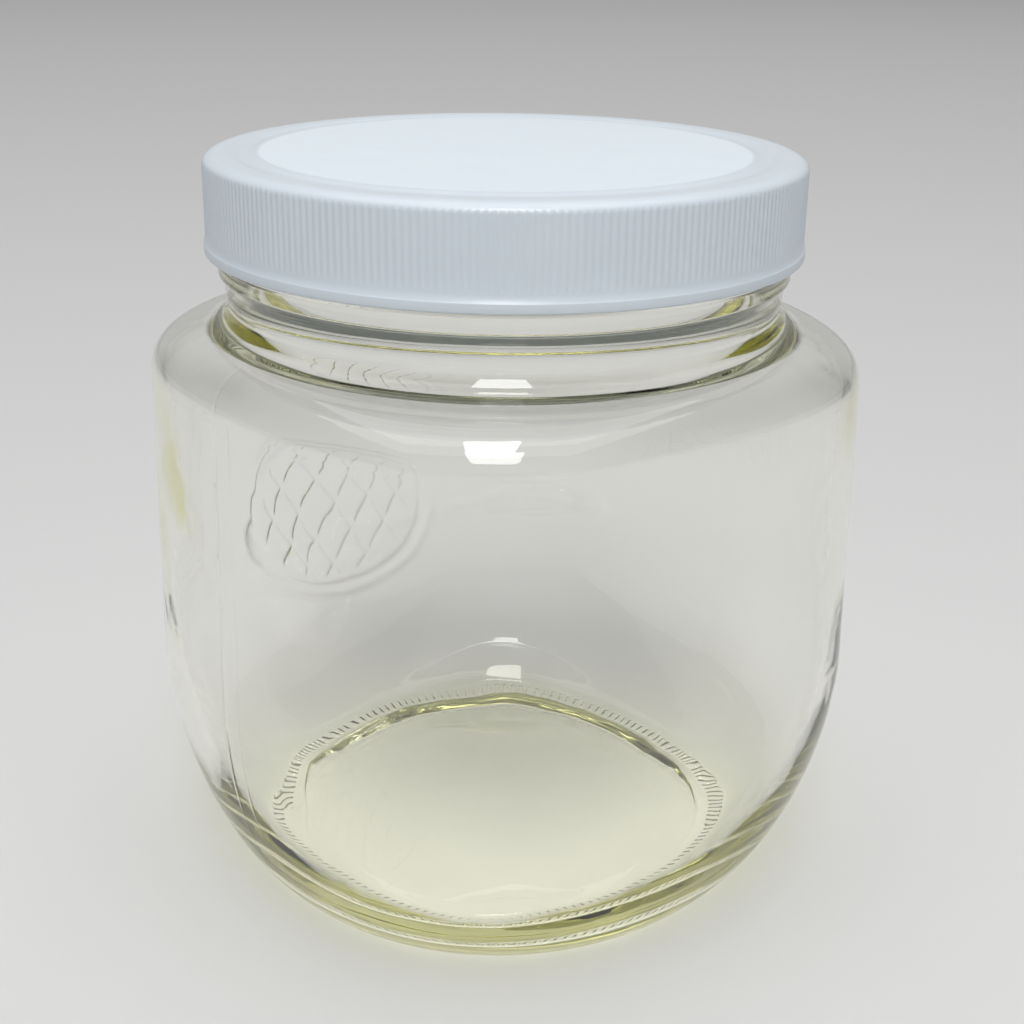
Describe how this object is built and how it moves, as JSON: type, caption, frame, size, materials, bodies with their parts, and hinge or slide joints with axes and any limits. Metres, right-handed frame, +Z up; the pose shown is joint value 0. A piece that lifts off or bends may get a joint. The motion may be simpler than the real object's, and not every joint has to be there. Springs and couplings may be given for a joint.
{
  "type": "glass canister",
  "caption": "Empty wide-mouth clear glass canister with a softly squared body, round neck and foot, closed by a finely ribbed white plastic screw cap with a ring groove on top.",
  "frame": {"origin": "centre of the foot, on the surface the jar stands on", "axes": "+Z up along the jar's axis; the four soft panels of the body face +X, -X, +Y and -Y"},
  "size_m": [0.1314, 0.1314, 0.145],
  "materials": {
    "clear_glass": "clear soda-lime glass, faint yellow-green where it is thick, polished, slightly wavy",
    "white_plastic": "moulded cool white plastic, satin skirt with fine upright ribs, fine matt texture on top"
  },
  "bodies": {
    "root": {"jar": "clear_glass", "lid": "white_plastic"}
  },
  "joints": []
}
